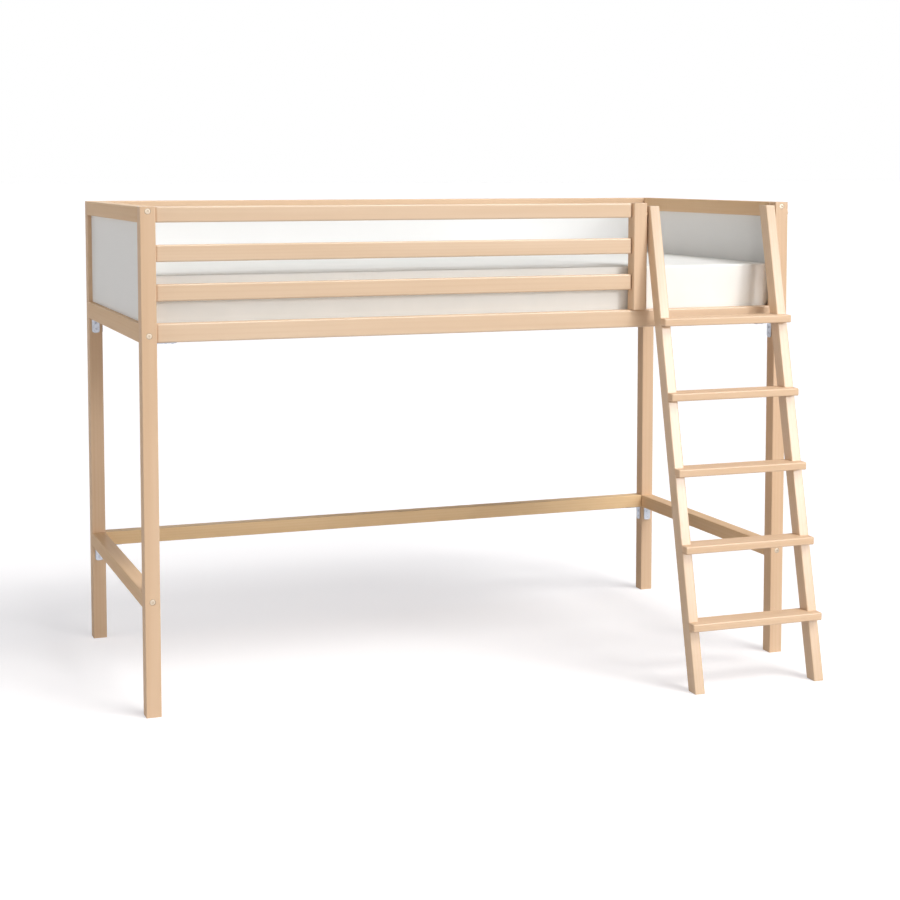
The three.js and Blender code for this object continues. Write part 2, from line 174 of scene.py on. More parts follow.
def made(name):
    """Names the new primitive and moves its place, turn and size into its mesh."""
    piece = bpy.context.object
    piece.name = name
    piece.data.name = name
    bpy.ops.object.transform_apply(location=True, rotation=True, scale=True)
    return piece


def block(name, low, high):
    clear_selection()
    bpy.ops.mesh.primitive_cube_add(size=1, location=(low + high) / 2, scale=high - low)
    return made(name)


def rod(name, radius, start, length, axis, sides=32):
    """A round bar that starts at a point and runs along an axis."""
    centre = Vector(start)
    centre[AXIS_NUMBER[axis]] += length / 2
    clear_selection()
    bpy.ops.mesh.primitive_cylinder_add(
        vertices=sides, radius=radius, depth=abs(length), location=centre, rotation=AXIS_TURN[axis]
    )
    return made(name)


def edit(piece, kind, chosen, operator, **settings):
    """Runs a mesh operator on the edges or faces that chosen picks."""
    clear_selection()
    piece.select_set(True)
    bpy.context.view_layer.objects.active = piece
    bpy.ops.object.mode_set(mode="EDIT")
    bpy.ops.mesh.select_mode(type=kind)
    bpy.ops.mesh.select_all(action="DESELECT")
    shape = bmesh.from_edit_mesh(piece.data)
    for part in shape.edges if kind == "EDGE" else shape.faces:
        if chosen(part):
            part.select_set(True)
    shape.select_flush_mode()
    bmesh.update_edit_mesh(piece.data)
    operator(**settings)
    bpy.ops.object.mode_set(mode="OBJECT")


def everything(_):
    return True


def along(axis):
    """Picks the edges that run along an axis."""
    number = AXIS_NUMBER[axis]

    def chosen(edge):
        run = edge.verts[1].co - edge.verts[0].co
        return abs(run[number]) > ALONG_AXIS * run.length

    return chosen


def at(axis, *places):
    """Picks the edges or faces that lie wholly at one of these places on an axis."""
    number = AXIS_NUMBER[axis]

    def chosen(part):
        return any(all(abs(v.co[number] - place) < SAME_PLACE for v in part.verts) for place in places)

    return chosen


def ends(piece, axis):
    places = [v.co[AXIS_NUMBER[axis]] for v in piece.data.vertices]
    return min(places), max(places)


def bevel(piece, chosen, width, steps):
    edit(piece, "EDGE", chosen, bpy.ops.mesh.bevel, offset=width, segments=steps, affect="EDGES")


def apply_modifier(piece, kind, **settings):
    clear_selection()
    piece.select_set(True)
    bpy.context.view_layer.objects.active = piece
    step = piece.modifiers.new(kind, kind)
    for name, value in settings.items():
        setattr(step, name, value)
    bpy.ops.object.modifier_apply(modifier=step.name)


def cut(piece, cutters):
    for cutter in cutters:
        apply_modifier(piece, "BOOLEAN", operation="DIFFERENCE", solver="EXACT", object=cutter)
        bpy.data.objects.remove(cutter, do_unlink=True)


def join(name, pieces):
    clear_selection()
    for piece in pieces:
        piece.select_set(True)
    bpy.context.view_layer.objects.active = pieces[0]
    bpy.ops.object.join()
    pieces[0].name = name
    return pieces[0]


def copy_of(master, name, matrix):
    mesh = master.data.copy()
    mesh.transform(matrix)
    piece = bpy.data.objects.new(name, mesh)
    bpy.context.scene.collection.objects.link(piece)
    return piece


def smooth(piece):
    clear_selection()
    piece.select_set(True)
    bpy.context.view_layer.objects.active = piece
    bpy.ops.object.shade_smooth_by_angle(angle=SMOOTH_ANGLE)


def show(piece, slot, materials, *nodes):
    """Gives a finished piece its materials and its place in the frame."""
    piece.data.materials.clear()
    for material in materials:
        piece.data.materials.append(material)
    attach(piece, BODY)
    if nodes:
        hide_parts(*nodes)


# Materials
def colour(written):
    """An sRGB hex colour as the linear values that nodes take."""
    shares = [int(written[i : i + 2], 16) / 255 for i in (0, 2, 4)]
    return [s / 12.92 if s <= 0.04045 else ((s + 0.055) / 1.055) ** 2.4 for s in shares] + [1.0]


def add_node(tree, kind, inputs=(), **options):
    """Adds a node. An input given as another node's output is linked, and any other is a value."""
    new = tree.nodes.new(kind)
    for name, value in options.items():
        setattr(new, name, value)
    for name, value in dict(inputs).items():
        if isinstance(value, bpy.types.NodeSocket):
            tree.links.new(value, new.inputs[name])
        else:
            new.inputs[name].default_value = value
    return new


def new_material(name):
    material = bpy.data.materials.new(name)
    material.use_nodes = True
    material.node_tree.nodes.clear()
    return material, material.node_tree


MIX_FACTOR, MIX_A, MIX_B, MIX_RESULT = 0, 6, 7, 2  # sockets of a colour Mix node
NOISE_RANGE = {"From Min": 0.3, "From Max": 0.7}  # nearly all of a Noise texture's values lie in it


def lacquered_beech(name, pale, dark, heart, lacquer, edge_lacquer):
    """Planed solid beech under a clear satin lacquer: an even, slightly pink tan with faint growth lines,
    fine streaks, small tone steps from bar to bar and a soft sheen. More lacquer gives a milky gloss, and
    more of it on the rounded edges, where it dries smooth, gives them a fine bright line. The growth rings,
    2 to 4 mm wide in the real wood, are drawn about 10 mm wide so that they show."""
    material, tree = new_material(name)
    grain = add_node(tree, "ShaderNodeAttribute", attribute_name="grain").outputs["Vector"]
    long_lines = add_node(
        tree, "ShaderNodeMapping", {"Vector": grain, "Scale": (RING_STRETCH, 1, 1)}
    ).outputs["Vector"]
    rings = add_node(
        tree,
        "ShaderNodeTexWave",
        {
            "Vector": long_lines,
            "Scale": WAVE_REPEAT / RING_PITCH,
            "Distortion": 3.2,
            "Detail": 2,
            "Detail Scale": 0.7,
        },
        wave_type="RINGS",
        rings_direction="X",
    ).outputs["Fac"]
    stretched = add_node(
        tree, "ShaderNodeMapping", {"Vector": grain, "Scale": [1 / size for size in STREAK_SIZE]}
    ).outputs["Vector"]
    streaks = add_node(
        tree, "ShaderNodeTexNoise", {"Vector": stretched, "Scale": 1, "Detail": 3, "Roughness": 0.6}
    ).outputs["Fac"]
    broad = add_node(
        tree, "ShaderNodeMapping", {"Vector": grain, "Scale": [1 / size for size in BAND_SIZE]}
    ).outputs["Vector"]
    bands = add_node(
        tree, "ShaderNodeTexNoise", {"Vector": broad, "Scale": 1, "Detail": 2, "Roughness": 0.5}
    ).outputs["Fac"]
    tone = colour(pale)
    # Each pattern: where its values start and stop to count, how much it tints the wood, and with what
    for pattern, low, high, tint, shade in (
        (bands, 0.3, 0.7, 1, dark),
        (rings, 0.45, 1, 0.1, heart),
        (streaks, 0.5, 0.8, 0.08, heart),
    ):
        inputs = {"Value": pattern, "From Min": low, "From Max": high, "To Max": tint}
        share = add_node(tree, "ShaderNodeMapRange", inputs).outputs["Result"]
        inputs = {MIX_FACTOR: share, MIX_A: tone, MIX_B: colour(shade)}
        tone = add_node(tree, "ShaderNodeMix", inputs, data_type="RGBA").outputs[MIX_RESULT]
    inputs = {"Value": streaks, **NOISE_RANGE, "To Min": 0.62, "To Max": 0.72}
    roughness = add_node(tree, "ShaderNodeMapRange", inputs).outputs["Result"]
    edge = add_node(tree, "ShaderNodeAttribute", attribute_name="round_edge").outputs["Fac"]
    inputs = {"Value": edge, "To Min": lacquer, "To Max": edge_lacquer}
    coat = add_node(tree, "ShaderNodeMapRange", inputs).outputs["Result"]
    bump = add_node(
        tree, "ShaderNodeBump", {"Height": streaks, "Strength": 0.25, "Distance": 0.15 * MM}
    ).outputs["Normal"]
    shader = add_node(
        tree,
        "ShaderNodeBsdfPrincipled",
        {
            "Base Color": tone,
            "Roughness": roughness,
            "Normal": bump,
            "IOR": 1.4,
            "Coat Weight": coat,
            "Coat Roughness": 0.16,
        },
    )
    add_node(tree, "ShaderNodeOutputMaterial", {"Surface": shader.outputs["BSDF"]})
    return material


def painted_board(name, paint):
    """Sprayed and sanded white lacquer on fibreboard: even and satin, with a very fine orange peel."""
    material, tree = new_material(name)
    place = add_node(tree, "ShaderNodeTexCoord").outputs["Object"]
    inputs = {"Vector": place, "Scale": 1 / PEEL_SIZE, "Detail": 2}
    peel = add_node(tree, "ShaderNodeTexNoise", inputs).outputs["Fac"]
    inputs = {"Vector": place, "Scale": 1 / PAINT_CLOUD_SIZE, "Detail": 2}
    clouds = add_node(tree, "ShaderNodeTexNoise", inputs).outputs["Fac"]
    inputs = {MIX_FACTOR: clouds, MIX_A: colour(paint), MIX_B: colour("E8E9E9")}
    tone = add_node(tree, "ShaderNodeMix", inputs, data_type="RGBA").outputs[MIX_RESULT]
    bump = add_node(
        tree, "ShaderNodeBump", {"Height": peel, "Strength": 0.15, "Distance": 0.1 * MM}
    ).outputs["Normal"]
    shader = add_node(
        tree,
        "ShaderNodeBsdfPrincipled",
        {
            "Base Color": tone,
            "Roughness": 0.5,
            "Normal": bump,
            "IOR": 1.46,
        },
    )
    add_node(tree, "ShaderNodeOutputMaterial", {"Surface": shader.outputs["BSDF"]})
    return material


def cotton_cover(name, cloth):
    """A woven and pre-washed white cotton cover: matt and soft, with a fine weave and a faint nap at grazing
    angles. The threads, 0.4 mm in the real cloth, are drawn 1.5 mm apart so that they show."""
    material, tree = new_material(name)
    place = add_node(tree, "ShaderNodeTexCoord").outputs["Object"]
    inputs = {"Vector": place, "Scale": WAVE_REPEAT / THREAD_PITCH, "Distortion": 1.5, "Detail Scale": 2}
    threads = [
        add_node(tree, "ShaderNodeTexWave", inputs, bands_direction=direction).outputs["Fac"]
        for direction in ("X", "Y")
    ]
    weave = add_node(
        tree, "ShaderNodeMath", {0: threads[0], 1: threads[1]}, operation="MULTIPLY"
    ).outputs[0]
    inputs = {"Vector": place, "Scale": 1 / CREASE_SIZE, "Detail": 3}
    soft = add_node(tree, "ShaderNodeTexNoise", inputs).outputs["Fac"]
    share = add_node(tree, "ShaderNodeMapRange", {"Value": soft, **NOISE_RANGE}).outputs["Result"]
    inputs = {MIX_FACTOR: share, MIX_A: colour(cloth), MIX_B: colour("F3F4F1")}
    tone = add_node(tree, "ShaderNodeMix", inputs, data_type="RGBA").outputs[MIX_RESULT]
    bump = add_node(
        tree, "ShaderNodeBump", {"Height": weave, "Strength": 0.3, "Distance": 0.1 * MM}
    ).outputs["Normal"]
    shader = add_node(
        tree,
        "ShaderNodeBsdfPrincipled",
        {
            "Base Color": tone,
            "Roughness": 0.9,
            "Normal": bump,
            "IOR": 1.45,
            "Sheen Weight": 0.15,
            "Sheen Roughness": 0.5,
        },
    )
    add_node(tree, "ShaderNodeOutputMaterial", {"Surface": shader.outputs["BSDF"]})
    return material


def zinc_steel(name, plating):
    """Pressed steel with a blue-passivated zinc plating: pale, slightly blue metal with a cloudy satin."""
    material, tree = new_material(name)
    place = add_node(tree, "ShaderNodeTexCoord").outputs["Object"]
    inputs = {"Vector": place, "Scale": 1 / PLATING_CLOUD_SIZE, "Detail": 3}
    clouds = add_node(tree, "ShaderNodeTexNoise", inputs).outputs["Fac"]
    inputs = {MIX_FACTOR: clouds, MIX_A: colour(plating), MIX_B: colour("AEB4BF")}
    tone = add_node(tree, "ShaderNodeMix", inputs, data_type="RGBA").outputs[MIX_RESULT]
    inputs = {"Value": clouds, **NOISE_RANGE, "To Min": 0.3, "To Max": 0.45}
    roughness = add_node(tree, "ShaderNodeMapRange", inputs).outputs["Result"]
    shader = add_node(
        tree,
        "ShaderNodeBsdfPrincipled",
        {"Base Color": tone, "Metallic": 1.0, "Roughness": roughness},
    )
    add_node(tree, "ShaderNodeOutputMaterial", {"Surface": shader.outputs["BSDF"]})
    return material


def nickel_steel(name, plating):
    """Turned steel with a satin nickel plating: warm and pale, with fine marks that blur what it mirrors."""
    material, tree = new_material(name)
    place = add_node(tree, "ShaderNodeTexCoord").outputs["Object"]
    inputs = {"Vector": place, "Scale": 1 / TURNING_MARK_SIZE, "Detail": 2}
    marks = add_node(tree, "ShaderNodeTexNoise", inputs).outputs["Fac"]
    inputs = {"Value": marks, **NOISE_RANGE, "To Min": 0.52, "To Max": 0.62}
    roughness = add_node(tree, "ShaderNodeMapRange", inputs).outputs["Result"]
    shader = add_node(
        tree,
        "ShaderNodeBsdfPrincipled",
        {"Base Color": colour(plating), "Metallic": 1.0, "Roughness": roughness},
    )
    add_node(tree, "ShaderNodeOutputMaterial", {"Surface": shader.outputs["BSDF"]})
    return material


def moulded_nylon(name, plastic):
    """Injection-moulded nylon dyed to the colour of the wood: even and slightly waxy."""
    material, tree = new_material(name)
    place = add_node(tree, "ShaderNodeTexCoord").outputs["Object"]
    inputs = {"Vector": place, "Scale": 1 / NYLON_CLOUD_SIZE, "Detail": 1}
    clouds = add_node(tree, "ShaderNodeTexNoise", inputs).outputs["Fac"]
    inputs = {MIX_FACTOR: clouds, MIX_A: colour(plastic), MIX_B: colour("BC9670")}
    tone = add_node(tree, "ShaderNodeMix", inputs, data_type="RGBA").outputs[MIX_RESULT]
    shader = add_node(
        tree,
        "ShaderNodeBsdfPrincipled",
        {"Base Color": tone, "Roughness": 0.45, "IOR": 1.53},
    )
    add_node(tree, "ShaderNodeOutputMaterial", {"Surface": shader.outputs["BSDF"]})
    return material


# Each beech tone: its name, its pale and dark wood, its growth lines, and the lacquer on its faces and edges
BEECH = lacquered_beech("lacquered_beech", "DFC0A1", "D8B796", "C49A71", 0.06, 0.5)
# The paler, less saturated beech of the front rails is painted sheen: it stands in for the white sheen of the
# lacquer on their lit fronts.
SHEEN_PAINTED_BEECH = lacquered_beech("beech_with_painted_sheen", "E1C6AA", "DABD9F", "C8A17A", 0.06, 0.8)
# The more orange, slightly darker beech of the end rails is painted shade: it stands in for the warmer shade
# on their sides that look away from the lamps.
SHADE_PAINTED_BEECH = lacquered_beech("beech_with_painted_shade", "DFBE99", "D8B48C", "C4986B", 0.05, 0.05)
# The lighter, more yellow beech of the back stretcher is painted light: it makes up for the shade of the bed
# that falls on it.
LIGHT_PAINTED_BEECH = lacquered_beech("beech_with_painted_light", "EACA9F", "E3C092", "CFA470", 0.05, 0.05)
STILE_BEECH = lacquered_beech("twice_lacquered_beech", "D9BD9F", "D2B495", "BE9971", 0.6, 0.8)
SLAT_WOOD = lacquered_beech("planed_slat_wood", "E6C49C", "DDB68B", "C79A6C", 0.04, 0.04)
WHITE_BOARD = painted_board("sprayed_white_board", "ECECEC")
COTTON = cotton_cover("woven_white_cotton", "F8F8F5")
ZINC = zinc_steel("blue_zinc_steel", "C9CDD6")
NICKEL = nickel_steel("satin_nickel_steel", "C6B8A6")
NYLON = moulded_nylon("moulded_tan_nylon", "C7A27C")


# Timber
bar_numbers = itertools.count(1)


def lay_grain(piece, direction):
    """Stores where each point lies in the plank that the bar was sawn from: along the grain, then the two
    ways across from the heart of the tree."""
    number = next(bar_numbers)
    share = number * GOLDEN_STEP % 1
    turn = share * math.tau
    heart = Vector((0, math.cos(turn), math.sin(turn))) * (HEART_NEAREST + HEART_SPREAD * share)
    start = Vector((PLANK_STEP * number, 0, 0)) + heart
    along_bar = Vector(direction).normalized()
    first = along_bar.orthogonal().normalized()
    second = along_bar.cross(first)
    to_plank = Matrix((along_bar, first, second))
    points = [v.co for v in piece.data.vertices]
    middle = sum(points, Vector()) / len(points)
    attribute = piece.data.attributes.new("grain", "FLOAT_VECTOR", "POINT")
    for point, record in zip(points, attribute.data):
        record.vector = to_plank @ (point - middle) + start


def mark_round_edges(piece):
    """Marks the faces of the rounded edges, which look along none of the axes."""
    attribute = piece.data.attributes.new("round_edge", "FLOAT", "FACE")
    for face, record in zip(piece.data.polygons, attribute.data):
        record.value = 1 if max(abs(part) for part in face.normal) < FLAT_FACE else 0


def finish_timber(piece, direction, slot, material, *nodes):
    lay_grain(piece, direction)
    smooth(piece)
    apply_modifier(piece, "WEIGHTED_NORMAL", keep_sharp=True)
    show(piece, slot, [material], *nodes)


def planed_bar(
    node, axis, cutters=(), rounding=EDGE_ROUND, end_round=END_EASE, slot="frame_wood", material=BEECH
):
    """A planed bar in the place of a node, with rounded long edges and eased ends, cut for its fittings."""
    low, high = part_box(node)
    piece = block(node + "_timber", low, high)
    bevel(piece, along(axis), rounding, ROUND_STEPS)
    end_steps = EASE_STEPS if end_round == END_EASE else ROUND_STEPS
    bevel(piece, at(axis, *ends(piece, axis)), end_round, end_steps)
    cut(piece, cutters)
    direction = [0, 0, 0]
    direction[AXIS_NUMBER[axis]] = 1
    mark_round_edges(piece)
    finish_timber(piece, direction, slot, material, node)


def front_rail(node):
    """A rail whose ends are rounded as seen from above, and then with one round edge all the way about it."""
    low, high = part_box(node)
    piece = block(node + "_timber", low, high)
    bevel(piece, along("Z"), FRONT_END_ROUND, END_ROUND_STEPS)
    bevel(piece, at("Z", low.z, high.z), FRONT_EDGE_ROUND, ROUND_STEPS)
    mark_round_edges(piece)
    # The front rails take the beech whose paler tone is painted sheen.
    finish_timber(piece, (1, 0, 0), "frame_wood", SHEEN_PAINTED_BEECH, node)


def flared_hole(centre, radius, depth, axis, outward):
    """A cutter for a round hole with a chamfered mouth. Outward is the sign of the way out along the axis."""
    number = AXIS_NUMBER[axis]
    mouth = Vector(centre)
    mouth[number] += outward * RECESS_CHAMFER
    cutter = rod("cutter", radius, mouth, -outward * (depth + RECESS_CHAMFER), axis)
    edit(
        cutter,
        "FACE",
        at(axis, centre[number] + outward * RECESS_CHAMFER),
        bpy.ops.mesh.inset,
        thickness=RECESS_CHAMFER,
        use_outset=True,
    )
    return cutter


def bolt_heights():
    post_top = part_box("post_front_left")[1].z
    side_rail_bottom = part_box("end_lower_rail_left")[0].z
    low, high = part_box("end_stretcher_left")
    return [post_top - BOLT_TOP_DROP, side_rail_bottom + BOLT_SIDE_RISE, (low.z + high.z) / 2]


def corner_posts():
    bolt = bolt_head()
    for row, outward in (("front", -1), ("rear", 1)):
        for side in ("left", "right"):
            node = f"post_{row}_{side}"
            low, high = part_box(node)
            outer = low.y if outward < 0 else high.y
            middle = (low.x + high.x) / 2
            cutters = []
            for number, z in enumerate(bolt_heights(), 1):
                mouth = Vector((middle, outer, z))
                cutters.append(flared_hole(mouth, RECESS_RADIUS, RECESS_DEPTH, "Y", outward))
                floor = mouth - Vector((0, outward * RECESS_DEPTH, 0))
                turn = Matrix.Rotation(0 if outward < 0 else math.pi, 4, "Z")
                head = copy_of(bolt, f"frame_bolt_{row}_{side}_{number}", Matrix.Translation(floor) @ turn)
                show(head, "zinc_steel", [NICKEL])
            planed_bar(node, "Z", cutters)
    planed_bar("guard_post", "Z")
    bpy.data.objects.remove(bolt, do_unlink=True)


def bolt_head():
    """A round bolt head with a hexagon socket. It stands on the XZ plane and faces along -Y."""
    head = rod("bolt_head", BOLT_HEAD_RADIUS, (0, 0, 0), -BOLT_HEAD_HEIGHT, "Y", sides=40)
    bevel(head, at("Y", -BOLT_HEAD_HEIGHT), BOLT_EDGE, steps=3)
    start = (0, -BOLT_HEAD_HEIGHT - CUTTER_REACH, 0)
    cut(head, [rod("cutter", SOCKET_RADIUS, start, SOCKET_DEPTH + CUTTER_REACH, "Y", sides=6)])
    smooth(head)
    return head


def barrel_nut():
    """The end of a barrel nut with its slot. It faces down and its face is at the origin."""
    nut = rod("barrel_nut", NUT_RADIUS, (0, 0, 0), NUT_LENGTH, "Z", sides=28)
    bevel(nut, at("Z", 0), NUT_EDGE, steps=2)
    slot = Vector((NUT_SLOT_WIDTH / 2, NUT_RADIUS, NUT_SLOT_DEPTH))
    cut(nut, [block("cutter", -slot, slot)])
    smooth(nut)
    return nut


def end_rails():
    nut = barrel_nut()
    for side in ("left", "right"):
        for kind, bolt_height in zip(("top_rail", "lower_rail", "stretcher"), bolt_heights()):
            node = f"end_{kind}_{side}"
            low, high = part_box(node)
            cutters = []
            for end, y in (("front", low.y + NUT_INSET), ("rear", high.y - NUT_INSET)):
                mouth = Vector(((low.x + high.x) / 2, y, low.z))
                depth = bolt_height + NUT_OVER_BOLT - low.z
                cutters.append(flared_hole(mouth, NUT_HOLE_RADIUS, depth, "Z", -1))
                place = Matrix.Translation(mouth + Vector((0, 0, NUT_SINK)))
                piece = copy_of(nut, f"barrel_nut_{kind}_{side}_{end}", place)
                show(piece, "zinc_steel", [ZINC])
            # The end rails take the beech whose warmer, darker tone is painted shade.
            planed_bar(node, "Y", cutters, material=SHADE_PAINTED_BEECH)
    bpy.data.objects.remove(nut, do_unlink=True)


def long_rails():
    planed_bar("back_top_rail", "X")
    planed_bar("back_side_rail", "X")
    # The back stretcher takes the beech whose lighter tone is painted light.
    planed_bar("back_stretcher", "X", material=LIGHT_PAINTED_BEECH)
    for node in ("front_side_rail", "front_top_rail", "guard_rail_lower", "guard_rail_upper"):
        front_rail(node)


def screw():
    """A pan-head screw head with a cross recess. It stands on the XY plane and faces up."""
    head = rod("screw", SCREW_RADIUS, (0, 0, 0), SCREW_HEIGHT, "Z", sides=20)
    bevel(head, at("Z", SCREW_HEIGHT), SCREW_ROUND, steps=3)
    half = Vector((CROSS_LENGTH / 2, CROSS_WIDTH / 2, CROSS_DEPTH))
    cutters = []
    for reach in (half, Vector((half.y, half.x, half.z))):
        top = Vector((0, 0, SCREW_HEIGHT))
        cutters.append(block("cutter", top - reach, top + reach))
    cut(head, cutters)
    smooth(head)
    return head


def slats_and_ledgers():
    head = screw()
    for node in ("slat_ledger_front", "slat_ledger_back"):
        planed_bar(node, "X")
    slats = sorted(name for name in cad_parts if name.startswith("slat_") and "ledger" not in name)
    for node in slats:
        planed_bar(node, "Y", slot="slat_wood", material=SLAT_WOOD)
        low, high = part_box(node)
        foot = high.z - SCREW_HEIGHT + SLAT_SCREW_STAND
        for end, y in (("front", low.y + SLAT_SCREW_INSET), ("rear", high.y - SLAT_SCREW_INSET)):
            place = Matrix.Translation(((low.x + high.x) / 2, y, foot))
            show(copy_of(head, f"{node}_screw_{end}", place), "zinc_steel", [ZINC])
    bpy.data.objects.remove(head, do_unlink=True)


# Ladder
ladder_low, ladder_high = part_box("ladder_stile_left")
LADDER_SLOPE = (LADDER_FOOT_REACH - LADDER_TOP_REACH) / ladder_high.z
LADDER_LEAN = math.atan(LADDER_SLOPE)
STILE_RUN = STILE_DEPTH / math.cos(LADDER_LEAN)


def stile_front(z):
    return ladder_low.y + LADDER_SLOPE * z


def lean_back(piece, centre):
    """Turns the piece by the ladder's lean about a line along X."""
    edit(
        piece,
        "FACE",
        everything,
        bpy.ops.transform.rotate,
        value=LADDER_LEAN,
        orient_axis="X",
        center_override=centre,
    )


def saw_level(piece, z, outward):
    """Cuts the piece level and closes it. Outward is the sign of the way to the waste."""
    edit(
        piece,
        "FACE",
        everything,
        bpy.ops.mesh.bisect,
        plane_co=(0, 0, z),
        plane_no=(0, 0, outward),
        use_fill=True,
        clear_outer=True,
    )


def stile(side):
    node = "ladder_stile_" + side
    low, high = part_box(node)
    centre = Vector(((low.x + high.x) / 2, stile_front(high.z / 2) + STILE_RUN / 2, high.z / 2))
    half = Vector((STILE_THICKNESS, STILE_DEPTH, high.z / math.cos(LADDER_LEAN) + 2 * STILE_DEPTH)) / 2
    piece = block(node + "_timber", centre - half, centre + half)
    bevel(piece, along("Z"), EDGE_ROUND, ROUND_STEPS)
    lean_back(piece, centre)
    saw_level(piece, 0, -1)
    saw_level(piece, high.z, 1)
    bevel(piece, at("Z", 0, high.z), END_EASE, EASE_STEPS)
    finish_timber(piece, (0, LADDER_SLOPE, 1), "frame_wood", STILE_BEECH, node)


def notch_cutter(from_x, to_x, z, thickness):
    """A block that leans as the stile does, with its front where the notch ends."""
    corner = Vector(((from_x + to_x) / 2, stile_front(z) - JOINT_GAP, z))
    half_width = abs(to_x - from_x) / 2
    reach = 2 * (TREAD_LIP + STILE_RUN)
    low = corner - Vector((half_width, 0, 2 * thickness))
    high = corner + Vector((half_width, reach, 2 * thickness))
    cutter = block("cutter", low, high)
    lean_back(cutter, corner)
    return cutter


def tread(node):
    """A tread cut out for both stiles, so that a lip and a short horn stand in front of and beside each."""
    low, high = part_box(node)
    notch = STILE_THICKNESS + JOINT_GAP
    middle = (low.z + high.z) / 2
    thickness = high.z - low.z
    cutters = [
        notch_cutter(low.x - notch, low.x + notch, middle, thickness),
        notch_cutter(high.x - notch, high.x + notch, middle, thickness),
    ]
    planed_bar(node, "X", cutters, TREAD_EDGE_ROUND, TREAD_END_ROUND)


def spacer(side, head):
    node = "ladder_spacer_" + side
    low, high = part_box(node)
    centre = (low + high) / 2
    length = high.x - low.x
    ring = rod(node + "_ring", (high.z - low.z) / 2, (low.x, centre.y, centre.z), length, "X")
    bevel(ring, at("X", low.x, high.x), SPACER_EDGE, steps=2)
    start = (low.x - CUTTER_REACH, centre.y, centre.z)
    cut(ring, [rod("cutter", SPACER_BORE_RADIUS, start, length + 2 * CUTTER_REACH, "X", sides=24)])
    smooth(ring)
    show(ring, "nylon", [NYLON], node)
    stile_face = high.x + JOINT_GAP + STILE_THICKNESS
    post_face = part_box("post_front_right")[1].x
    bolt_face = stile_face if side == "left" else post_face
    place = Matrix.Translation((bolt_face, centre.y, centre.z)) @ Matrix.Rotation(math.pi / 2, 4, "Z")
    show(copy_of(head, f"ladder_bolt_{side}", place), "zinc_steel", [NICKEL])


def ladder_bolt_head():
    """A bolt head on its washer, facing along -Y."""
    washer = rod("washer", WASHER_RADIUS, (0, 0, 0), -WASHER_THICKNESS, "Y", sides=40)
    bevel(washer, at("Y", -WASHER_THICKNESS), WASHER_EDGE, steps=2)
    smooth(washer)
    head = bolt_head()
    head.data.transform(Matrix.Translation((0, -WASHER_THICKNESS, 0)) @ Matrix.Scale(LADDER_BOLT_SCALE, 4))
    return join("ladder_bolt_head", [head, washer])


def ladder():
    for side in ("left", "right"):
        stile(side)
    for node in sorted(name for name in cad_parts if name.startswith("ladder_tread_")):
        tread(node)
    head = ladder_bolt_head()
    for side in ("left", "right"):
        spacer(side, head)
    bpy.data.objects.remove(head, do_unlink=True)


# Brackets
def bracket_plate():
    """A strip bent to a right angle. One leg runs down from the origin and the other along +X."""
    low = Vector((0, -BRACKET_WIDTH / 2, -BRACKET_THICKNESS))
    high = Vector((BRACKET_RAIL_LEG, BRACKET_WIDTH / 2, 0))
    plate = block("bracket_plate", low, high)
    edit(
        plate,
        "FACE",
        everything,
        bpy.ops.mesh.bisect,
        plane_co=(BRACKET_THICKNESS, 0, 0),
        plane_no=(1, 0, 0),
    )
    drop = Vector((0, 0, BRACKET_THICKNESS - BRACKET_POST_LEG))

    def foot(face):
        centre = face.calc_center_median()
        return face.normal.z < -LEVEL_FACE and centre.x < BRACKET_THICKNESS

    edit(
        plate,
        "FACE",
        foot,
        bpy.ops.mesh.extrude_region_move,
        TRANSFORM_OT_translate={"value": drop},
    )

    def outer_bend(edge):
        return all(abs(v.co.x) < SAME_PLACE and abs(v.co.z) < SAME_PLACE for v in edge.verts)

    def inner_bend(edge):
        thickness = BRACKET_THICKNESS
        return all(
            abs(v.co.x - thickness) < SAME_PLACE and abs(v.co.z + thickness) < SAME_PLACE for v in edge.verts
        )

    def leg_corner(edge):
        run = edge.verts[1].co - edge.verts[0].co
        at_rail_end = all(abs(v.co.x - BRACKET_RAIL_LEG) < SAME_PLACE for v in edge.verts)
        at_post_end = all(abs(v.co.z + BRACKET_POST_LEG) < SAME_PLACE for v in edge.verts)
        return (at_rail_end and abs(run.z) > SAME_PLACE) or (at_post_end and abs(run.x) > SAME_PLACE)

    bevel(plate, leg_corner, BRACKET_CORNER_ROUND, steps=6)
    bevel(plate, outer_bend, BRACKET_BEND_OUTSIDE, steps=4)
    bevel(plate, inner_bend, BRACKET_BEND_INSIDE, steps=3)
    smooth(plate)
    return plate


def bracket_with_screws():
    parts = [bracket_plate()]
    head = screw()
    for step in range(2):
        inset = BRACKET_HOLE_INSET + step * BRACKET_HOLE_PITCH
        under_rail = Matrix.Translation((BRACKET_RAIL_LEG - inset, 0, -BRACKET_THICKNESS))
        on_post = Matrix.Translation((BRACKET_THICKNESS, 0, inset - BRACKET_POST_LEG))
        parts.append(copy_of(head, "screw_up", under_rail @ Matrix.Rotation(math.pi, 4, "X")))
        parts.append(copy_of(head, "screw_side", on_post @ Matrix.Rotation(math.pi / 2, 4, "Y")))
    bpy.data.objects.remove(head, do_unlink=True)
    return join("bracket", parts)


# For each kind of bracket: its turn about Z, its rail leg's axis, and the side of its box with the corner
BRACKET_TURNS = {
    "end_front": (math.pi / 2, "Y", 0),
    "end_rear": (-math.pi / 2, "Y", 1),
    "back_left": (0, "X", 0),
    "front_left": (0, "X", 0),
    "back_right": (math.pi, "X", 1),
    "front_right": (math.pi, "X", 1),
}


